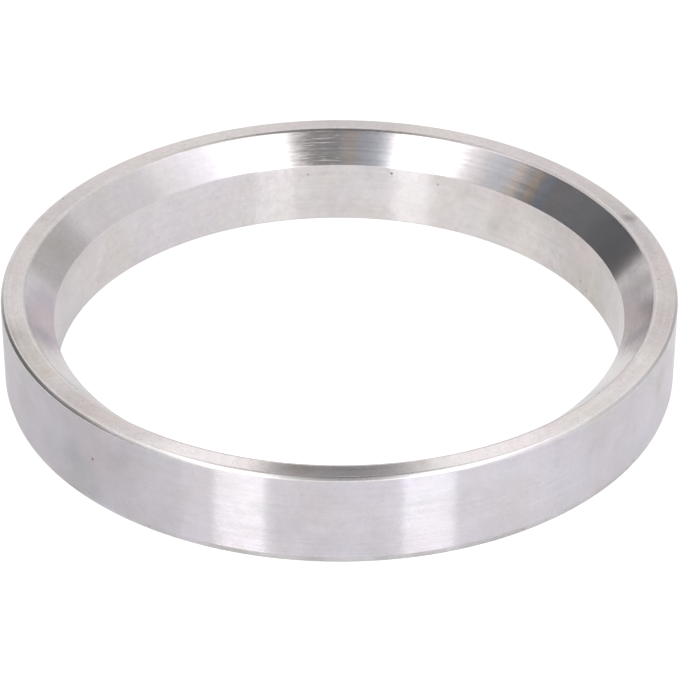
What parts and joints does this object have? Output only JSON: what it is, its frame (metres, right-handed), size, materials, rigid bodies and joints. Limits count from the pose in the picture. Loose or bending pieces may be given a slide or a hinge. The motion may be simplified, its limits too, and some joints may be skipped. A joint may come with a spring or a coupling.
{
  "type": "hub centric ring",
  "caption": "Plain turned aluminium ring with a coned mouth in its bore, which centres a wheel's larger centre bore on the smaller register of a vehicle's hub.",
  "frame": {"origin": "centre of the flat wheel end, on the ring's axis", "axes": "+Z along the ring's axis, from the flat wheel end to the coned mouth; X and Y are equivalent"},
  "size_m": [0.1102, 0.1102, 0.0156],
  "materials": {
    "turned_aluminium": "bare, fine turned, satin"
  },
  "bodies": {
    "root": {"hub_centric_ring": "turned_aluminium"}
  },
  "joints": []
}
